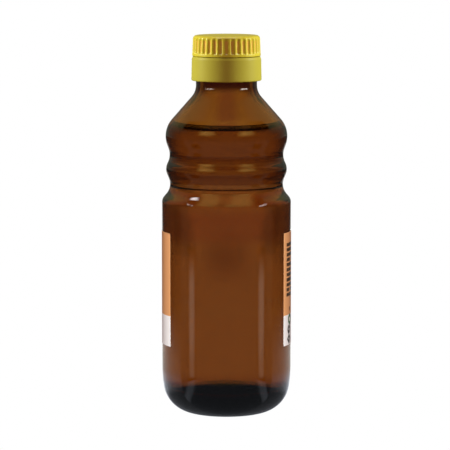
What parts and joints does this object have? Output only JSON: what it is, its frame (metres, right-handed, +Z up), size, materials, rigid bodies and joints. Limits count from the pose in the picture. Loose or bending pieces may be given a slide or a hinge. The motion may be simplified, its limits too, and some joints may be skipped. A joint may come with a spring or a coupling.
{
  "type": "pumpkin seed oil bottle",
  "caption": "Round amber glass bottle of dark seed oil with a grooved waist, fluted yellow screw cap, smooth collar and a paper label on either side.",
  "frame": {"origin": "middle of the foot, on the surface the bottle stands on", "axes": "+Z up along the bottle's axis; the bare glass between the two labels faces -Y and +Y, the left label -X and the right label +X"},
  "size_m": [0.0572, 0.057, 0.1673],
  "materials": {
    "amber_glass": "clear amber glass, smooth and glossy",
    "oil": "clear dark seed oil",
    "cap_plastic": "glossy moulded yellow plastic",
    "collar_plastic": "glossy moulded olive-yellow plastic",
    "label_paper": "smooth printed paper, salmon over a white band"
  },
  "bodies": {
    "root": {"glass_bottle": "amber_glass", "seed_oil": "oil", "screw_cap": "cap_plastic", "collar": "collar_plastic", "left_label": "label_paper", "right_label": "label_paper"}
  },
  "joints": []
}
